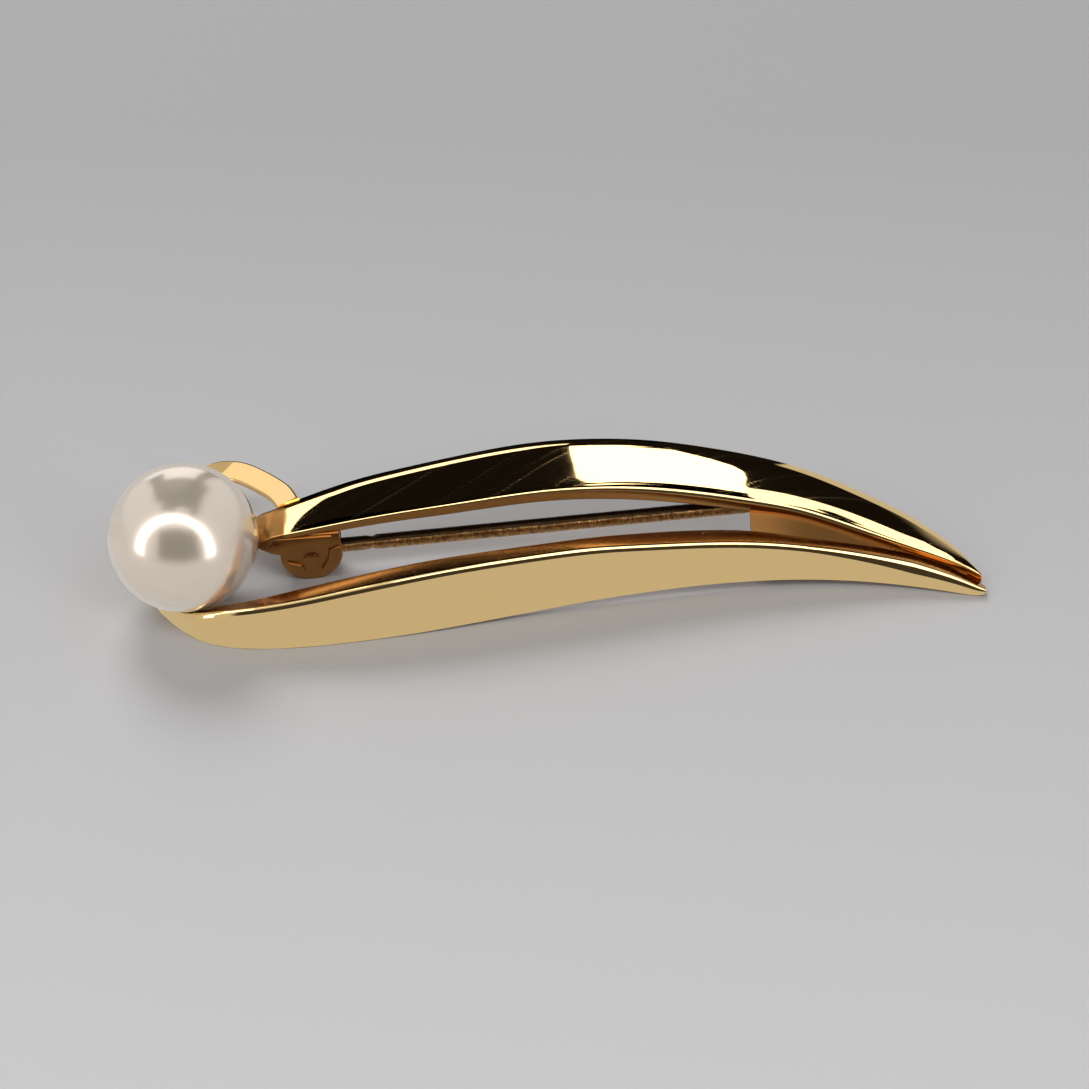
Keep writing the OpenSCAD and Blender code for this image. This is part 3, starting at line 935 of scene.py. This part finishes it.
# Raised plates on the near ear, as outlines in x and z from the rivet
EAR_PLATES = {
    "ear_ledge": (
        (1.1, 1.6), (-2.45, 1.6), (-2.7, 1.05), (-2.1, 0.68), (-1.6, 0.5), (-0.4, 0.55), (0.85, 0.62),
    ),
    "ear_left_plate": ((-1.3, -0.02), (-0.55, -0.3), (-0.35, -0.72), (-0.62, -1.0), (-1.0, -0.62)),
    "ear_right_plate": (
        (0.95, 0.6), (1.5, 0.85), (1.6, 0.45), (1.52, -0.1), (1.12, -0.72), (0.49, -0.66), (0.86, -0.04),
    ),
}
EAR_PLATE_RISE = 0.15 * MM

# The angles in degrees between which the ears are round
EAR_ROUND = (169.5, 370.5)

# Gap beside the pin's eye and slack round the rivet
EYE_GAP = 0.06 * MM
EYE_SLACK = 0.03 * MM


class BROOCH_OT_hinge(bpy.types.Operator):
    """Makes the two ears, the bridge between them and the rivet"""

    bl_idname = "brooch.hinge"
    bl_label = "Hinge"

    def execute(self, context):
        sizes = context.scene.brooch.pin
        middle = sizes.eye_width / 2 + EYE_GAP + sizes.ear_width / 2
        rise = sizes.ear - PIVOT.z * MM
        soldered = ("brooch_frame", "hinge_gold")
        # Columns: name, middle along the rivet, height of the wide top, its reach to the left and right
        ears = (("near_ear", -middle, 1.68, 2.5, 1.5), ("far_ear", middle, 2.25, 0.1, 1.9))
        for name, at, top, left, right in ears:
            outline = [(right * MM, top * MM), (-left * MM, top * MM)]
            outline += arc((0, rise), sizes.ear, *EAR_ROUND, 40)
            work = slab(outline, at - sizes.ear_width / 2, at + sizes.ear_width / 2)
            new_piece(name, work, at_pivot(), *soldered, BEVEL)
        for name, outline in EAR_PLATES.items():
            low = -middle - sizes.ear_width / 2 - EAR_PLATE_RISE
            work = slab([(x * MM, z * MM) for x, z in outline], low, -middle)
            new_piece(name, work, at_pivot(), *soldered, FINE_BEVEL)
        # The bridge's two heights and half its length
        low, high, half = 1.3 * MM, 1.75 * MM, 1.3 * MM
        bridge = slab([(half, high), (-half, high), (-half, low), (half, low)], -middle, middle)
        new_piece("hinge_bridge", bridge, at_pivot(), *soldered, BEVEL)
        # The rivet's heads: where they start, their radius, thickness and softened edge
        outer = middle + sizes.ear_width / 2 + 0.02 * MM
        head, thick, soft = sizes.head / 2, 0.12 * MM, 0.03 * MM
        dome = [(outer, sizes.rivet / 2), (outer, head - soft), (outer + soft, head)]
        angles = [math.radians(15 + 7.5 * k) for k in range(10)]
        dome += [(outer + thick * math.sin(a), head * math.cos(a)) for a in angles]
        profile = [(-x, r) for x, r in dome[::-1]] + dome
        profile = [(-outer - thick, 0.0)] + profile + [(outer + thick, 0.0)]
        new_piece("rivet", turned(profile, 40), at_pivot() @ TO_SIDE, "hinge_rivet", "hinge_gold")
        return {"FINISHED"}


class BROOCH_OT_catch(bpy.types.Operator):
    """Makes the hook that holds the pin's tip"""

    bl_idname = "brooch.catch"
    bl_label = "Catch"

    def execute(self, context):
        sizes = context.scene.brooch.pin
        outer, room = sizes.catch_radius, sizes.catch_room
        # Half the width and the height of its foot, and half its length along the pin
        foot, top, reach = 0.6 * MM, 1.4 * MM, 0.75 * MM
        shoulder = math.degrees(math.acos(foot / outer))
        opening = math.degrees(math.acos(room / outer))
        outline = [(-foot, top), (foot, top)] + arc((0, 0), outer, shoulder, -opening, 20)
        outline += arc((0, 0), room, 0, 180, 24) + arc((0, 0), outer, 180 + opening, 180 - shoulder, 20)
        turn = along_pin() @ Matrix.Translation((sizes.catch_at, 0, 0)) @ TO_SIDE
        hook = slab(outline, -reach, reach)
        new_piece("catch_hook", hook, turn, "brooch_frame", "fitting_gold", FINE_BEVEL)
        return {"FINISHED"}


class BROOCH_OT_pin(bpy.types.Operator):
    """Makes the pin: its polished eye, its root and its drawn wire with a tapered tip"""

    bl_idname = "brooch.pin"
    bl_label = "Pin"

    def execute(self, context):
        sizes = context.scene.brooch.pin
        half, wide, bore, soft = sizes.eye_width / 2, sizes.eye / 2, sizes.rivet / 2 + EYE_SLACK, 0.08 * MM
        ring = [(-half, bore), (-half, wide - soft), (-half + soft, wide)]
        ring += [(half - soft, wide), (half, wide - soft), (half, bore)]
        eye = turned(ring, 48, closed=True)
        new_piece("pin_eye", eye, along_pin() @ TO_SIDE, "pin_stem", "fitting_gold")
        # The root is a little thinner than the wire, and the two overlap for a short way
        radius, root_radius, tip = sizes.wire / 2, 0.96 * sizes.wire / 2, 0.12 * MM
        root_start, wire_start, root_end = 0.7 * MM, 2.9 * MM, 3.5 * MM
        taper_at = sizes.length - sizes.taper
        root = [(root_start, 0.0), (root_start, root_radius), (wire_start, root_radius)]
        root += [(root_end, radius * 0.7), (root_end, 0.0)]
        new_piece("pin_root", turned(root, 40), along_pin(), "pin_stem", "drawn_gold")
        wire = [(wire_start, 0.0), (wire_start + 0.35 * MM, radius * 0.75), (root_end, radius)]
        wire += [(root_end + (taper_at - root_end) * k / 60, radius) for k in range(1, 61)]
        wire += [
            (taper_at + (sizes.taper - tip) * k / 12, radius + (tip - radius) * k / 12) for k in range(1, 13)
        ]
        wire += arc((sizes.length - tip, 0), tip, 80, 0, 6)
        new_piece("pin_wire", turned(wire, 40), along_pin(), "pin_stem", "drawn_gold")
        return {"FINISHED"}


def glow_sheet(name, rows, strength):
    """A light in the shape of a sheet between rows of corners, which the camera doesn't see."""
    work = bmesh.new()
    made = [[work.verts.new(corner) for corner in row] for row in rows]
    for one, two in zip(made, made[1:]):
        for k in range(len(one) - 1):
            work.faces.new((one[k], one[k + 1], two[k + 1], two[k]))
    material, make = emptied(bpy.data.materials.new(name))
    light = make("ShaderNodeEmission", None, {"Color": (1.0, 1.0, 1.0, 1.0), "Strength": strength})
    sheet = stage_object(name, work, showing(material, light))
    sheet.visible_camera = False
    return sheet


def stage_object(name, work, material):
    """An object of the stage from a bmesh."""
    made = linked_mesh(name, work)
    made.data.materials.append(material)
    return made


# The arched softbox: the axis that it stands round and two directions square to it, its radius in
# metres, the angles in degrees that it starts and ends at, and how far its two edges lean from the
# axis at its feet and how much further at its top
ARCH_AXIS = Vector((-0.154, -0.973, 0.173))
ARCH_RIGHT = Vector((0.988, -0.156, 0.0))
ARCH_UP = Vector((0.027, 0.172, 0.985))
ARCH_RADIUS = 0.3
ARCH_START = -14
ARCH_END = 194
ARCH_LEANS = ((46, 6), (61, 4))
ARCH_STEPS = 64


def arch_edge(lean, more):
    """Points along one edge of the arched softbox."""
    points = []
    for k in range(ARCH_STEPS + 1):
        turn = math.radians(ARCH_START + (ARCH_END - ARCH_START) * k / ARCH_STEPS)
        tilt = math.radians(lean + more * math.sin(turn))
        outward = math.cos(turn) * ARCH_RIGHT + math.sin(turn) * ARCH_UP
        points.append(ARCH_RADIUS * (math.cos(tilt) * ARCH_AXIS + math.sin(tilt) * outward))
    return points


# The pale sheet on the floor round the front ribbon's foot, in mm: the rows of the table that it
# follows, its height, the place that it spreads from, and the reach of its two edges
APRON_ROWS = FRONT_ROWS[:24]
APRON_HEIGHT = 0.02
APRON_CENTRE = (-2.0, 8.0, APRON_HEIGHT)
APRON_REACH = (0.03, 40.0)


def apron_edges():
    """Points along the two edges of the pale sheet."""
    foot = place(np.array([(x, y, APRON_HEIGHT) for x, y, *rest in APRON_ROWS]) * MM)
    outward = foot - np.array(APRON_CENTRE) * MM
    outward /= np.linalg.norm(outward, axis=1)[:, None]
    return [foot + reach * MM * outward for reach in APRON_REACH]


# Far lights by name, with the collection that they light and their two sides, as pairs of angles in
# degrees seen from the brooch: to the right of straight up, and from there towards the camera
FAR_LIGHTS = {
    "back": ("pale", (
        ((8, -54), (8, -66), (8, -77), (8, -88)),
        ((-29, -54), (-29, -66), (-29, -77), (-29, -88)),
    )),
    "halo": ("pale", (
        ((30, 3), (30, 7), (30, 10), (30, 14)),
        ((-30, 3), (-30, 7), (-30, 10), (-30, 14)),
    )),
    "panel": ("golden", (
        ((2.2, -30), (2.9, -23), (3.6, -17), (4.6, -8.5), (5.4, -2), (6.2, 2.5), (7.5, 4.5)),
        ((9.5, -27.5), (13.1, -21.5), (14.4, -19.2), (15.1, -15.6), (15.1, -10.3), (14.6, -3.9), (14.8, 4.5)),
    )),
    "band": ("golden", (
        ((14.4, -1.0), (15.4, -2.0), (16.7, -2.9), (18.1, -4.3), (21.2, -6.5), (23.0, -7.5)),
        ((13.0, 24), (15.4, 24), (17.0, 24), (18.0, 24), (21.0, 24), (23.0, 24)),
    )),
    "strip": ("golden", (
        ((1.5, -36), (-1.6, -32), (-8.8, -32), (-10.9, -30), (-10.0, -20), (-8.6, -9), (-6.7, 3), (-6.0, 12)),
        ((1.5, -39), (-5.0, -40), (-12, -43), (-17, -42), (-12.8, -20), (-10.4, -9), (-8.4, 3), (-7.6, 12)),
    )),
    "side": ("golden", (
        ((-22, -12), (-22, -22), (-22, -36), (-20, -50), (-19, -74)),
        ((-33, -12), (-33, -22), (-33, -36), (-32, -50), (-31, -74)),
    )),
    "left": ("golden", (
        ((-17.0, -46), (-16.6, -40), (-12.8, -20), (-10.4, -9), (-8.4, 3), (-7.6, 12)),
        ((-23, -46), (-23, -38), (-23, -20), (-23, -9), (-23, 3), (-23, 12)),
    )),
}


# The far lights stand one behind the other, in metres from the brooch
FAR_DISTANCE = 1.9
FAR_STEP = 0.1


def far_corners(angles, distance):
    """Points on a wide sphere round the brooch from pairs of angles."""
    turned_to = [(math.radians(right), math.radians(near)) for right, near in angles]
    return [
        (distance * math.sin(a), -distance * math.cos(a) * math.sin(b), distance * math.cos(a) * math.cos(b))
        for a, b in turned_to
    ]


# The room's dark patches: the tone, then for the left, right, back and front edge the angles in
# degrees at which it starts and is full
CANOPY = ((0.007, 0.006, 0.006, 1.0), (-31.0, -19.0), (31.0, 23.0), (-60.0, -42.0), (26.0, 12.0))
DARK_FRONT = ((0.05, 0.045, 0.04, 1.0), (-36.0, -26.0), (36.0, 26.0), (34.0, 42.0), (92.0, 82.0))

# At the left, from the first of these angles to the second, the canopy reaches further back
CANOPY_STEP = (18.5, 15.5)
CANOPY_MORE = 62.0

# The room as it is lit, in parts of its strength, and as the camera sees it
ROOM_TINT = (1.0, 1.0, 1.02)
SEEN_TONE = (0.42, 0.42, 0.43, 1.0)


def studio_room(look):
    """A pale room with a dark canopy over the brooch and a dark front, soft at their edges."""
    world, make = emptied(bpy.data.worlds.new("studio"))
    towards = make("ShaderNodeTexCoord", None, None, "Generated")
    right, away, up = (make("ShaderNodeSeparateXYZ", None, {"Vector": towards}, axis) for axis in "XYZ")
    # Two angles in degrees: towards the camera from straight up, and to the right
    near = (away * -1.0).maths("ARCTAN2", up) * (180 / math.pi)
    side = right.maths("ARCSINE") * (180 / math.pi)

    back = near + CANOPY_MORE * side.ramp(*CANOPY_STEP, "SMOOTHSTEP")
    tone = opaque(ROOM_TINT, [look.surround] * 3)
    for (dark, *edges), back_angle in ((CANOPY, back), (DARK_FRONT, near)):
        mask = 1.0
        for angle, edge in zip((side, side, back_angle, near), edges):
            mask = angle.ramp(*edge, "SMOOTHSTEP") * mask
        tone = mask.mixed(tone, dark)
    seen = make("ShaderNodeLightPath", None, None, "Is Camera Ray")
    sky = make("ShaderNodeBackground", None, {"Color": seen.mixed(tone, SEEN_TONE), "Strength": 1.0})
    return showing(world, sky, "World")


# The floor's radius in metres, and how far its tone, painted light, goes from the darker back to the lighter
# front
FLOOR_RADIUS = 3.0
FADE_REACH = 0.045
FADE_BACK = 0.78
FADE_FRONT = 1.11


def matte_floor(look):
    """The floor's pale matt paper, with painted light: darker at the back and a little lighter at the front.
    """
    material, make = emptied(bpy.data.materials.new("matte_floor"))
    at = make("ShaderNodeTexCoord", None, None, "Object")
    # Painted light: the floor's tone fades from the darker back to the lighter front
    painted_light_fade = make("ShaderNodeSeparateXYZ", None, {"Vector": at}, "Y").ramp(FADE_REACH, -FADE_REACH)
    tone = painted_light_fade.mixed(opaque(look.floor, [FADE_BACK] * 3), opaque(look.floor, [FADE_FRONT] * 3))
    return surface(material, make, tone, 0.85, Specular_IOR_Level=0.2)


# Place and width of the soft light from behind, in metres
KEY_AT = Vector((-0.15, 0.44, 0.5))
KEY_WIDTH = 0.34

# The camera looks at this place, in mm; its sensor's width is in mm and its clips are in metres
LOOK_AT = Vector((0, 0, 2.0))
SENSOR = 36.0
CLIPS = (0.005, 20.0)


def aimed(at, back):
    """Place and turn of a light or camera that looks away from the direction back."""
    return Matrix.Translation(at) @ back.to_track_quat("Z", "Y").to_matrix().to_4x4()


class BROOCH_OT_stage(bpy.types.Operator):
    """Makes the pale floor, the studio lights and the camera"""

    bl_idname = "brooch.stage"
    bl_label = "Stage"

    def execute(self, context):
        look = context.scene.brooch.stage
        work = bmesh.new()
        bmesh.ops.create_circle(work, cap_ends=True, segments=96, radius=FLOOR_RADIUS)
        floor = stage_object("floor", work, matte_floor(look))

        # The gold has lights of its own, and so have the pearl and the floor
        lit = {name: bpy.data.collections.new(name) for name in ("golden", "pale")}
        lit["pale"].objects.link(floor)
        glow_sheet("arch_light", [arch_edge(*leans) for leans in ARCH_LEANS], look.arch)
        apron = glow_sheet("apron_light", apron_edges(), look.apron)
        apron.visible_diffuse = apron.visible_shadow = False
        for index, (name, (receivers, sides)) in enumerate(FAR_LIGHTS.items()):
            rows = [far_corners(side, FAR_DISTANCE - FAR_STEP * index) for side in sides]
            card = glow_sheet(name + "_light", rows, getattr(look, name))
            card.light_linking.receiver_collection = lit[receivers]
        context.scene.world = studio_room(look)

        key = linked("key_light", bpy.data.lights.new("key_light", "AREA"))
        key.data.shape, key.data.size, key.data.energy = "DISK", KEY_WIDTH, look.key
        key.visible_glossy = False
        key.matrix_world = aimed(KEY_AT, KEY_AT)

        camera = linked("camera", bpy.data.cameras.new("camera"))
        camera.data.lens, camera.data.sensor_width = look.lens, SENSOR
        camera.data.clip_start, camera.data.clip_end = CLIPS
        back = Vector((0, -math.cos(look.elevation), math.sin(look.elevation)))
        camera.matrix_world = aimed((LOOK_AT - MIDDLE) * MM + back * look.distance, back)
        context.scene.camera = camera
        context.scene.view_settings.view_transform = "Standard"
        return {"FINISHED"}


class BROOCH_PT_panel(bpy.types.Panel):
    """Lists the brooch's pieces and their sizes"""

    bl_label = "Pearl Brooch"
    bl_idname = "BROOCH_PT_panel"
    bl_space_type = "VIEW_3D"
    bl_region_type = "UI"
    bl_category = "Brooch"

    def draw(self, context):
        settings = context.scene.brooch
        for title in ("ribbons", "pearl", "pin", "finishes", "stage"):
            group = getattr(settings, title)
            box = self.layout.box()
            box.label(text=title.capitalize())
            for key in group.bl_rna.properties.keys():
                if key not in {"rna_type", "name"}:
                    box.prop(group, key)
        for operator in OPERATORS:
            self.layout.operator(operator.bl_idname)


OPERATORS = (
    BROOCH_OT_stage, BROOCH_OT_front_ribbon, BROOCH_OT_upper_ribbon, BROOCH_OT_web, BROOCH_OT_pearl_seat,
    BROOCH_OT_pearl, BROOCH_OT_hinge, BROOCH_OT_catch, BROOCH_OT_pin,
)
SETTINGS = (RibbonSizes, PearlSizes, PinSizes, Finishes, StageLook, BroochSettings)
CLASSES = (*SETTINGS, *OPERATORS, BROOCH_PT_panel)


def register():
    for one in CLASSES:
        bpy.utils.register_class(one)
    bpy.types.Scene.brooch = bpy.props.PointerProperty(type=BroochSettings)


def unregister():
    del bpy.types.Scene.brooch
    for one in reversed(CLASSES):
        bpy.utils.unregister_class(one)


def main():
    register()
    bpy.ops.brooch.stage()
    bpy.ops.brooch.front_ribbon()
    bpy.ops.brooch.upper_ribbon()
    bpy.ops.brooch.web()
    bpy.ops.brooch.pearl_seat()
    bpy.ops.brooch.pearl()
    bpy.ops.brooch.hinge()
    bpy.ops.brooch.catch()
    bpy.ops.brooch.pin()


if __name__ == "__main__":
    main()
